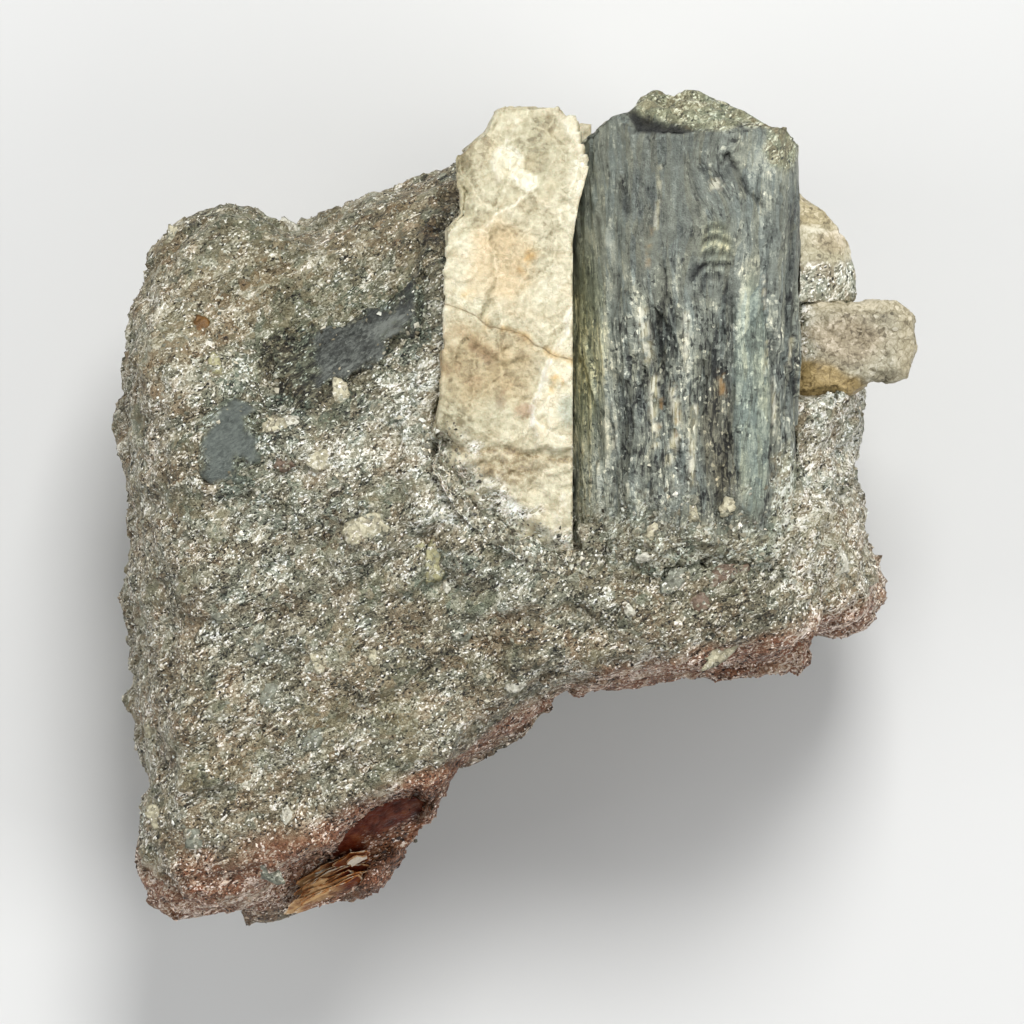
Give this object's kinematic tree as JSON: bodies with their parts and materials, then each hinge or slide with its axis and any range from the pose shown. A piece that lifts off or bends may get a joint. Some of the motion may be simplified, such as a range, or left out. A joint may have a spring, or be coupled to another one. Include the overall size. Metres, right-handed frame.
{
  "type": "enstatite crystal on mica schist",
  "caption": "Hand specimen of glittering mica schist with a striated blue-grey enstatite prism beside a cream feldspar slab.",
  "frame": {"origin": "under the middle of the specimen's bounding box, on the surface it rests on", "axes": "+X to the specimen's right, +Y along the prism towards its broken top, +Z out of the best face"},
  "size_m": [0.0398, 0.0423, 0.0276],
  "materials": {
    "schist": "matte",
    "enstatite": "satin",
    "feldspar": "satin",
    "phlogopite": "gloss"
  },
  "bodies": {
    "root": {"schist_matrix": "schist", "enstatite_crystal": "enstatite", "feldspar_slab": "feldspar", "feldspar_wedge": "feldspar", "feldspar_knob": "feldspar", "phlogopite_book": "phlogopite", "enstatite_blade": "enstatite", "enstatite_grain": "enstatite"}
  },
  "joints": []
}
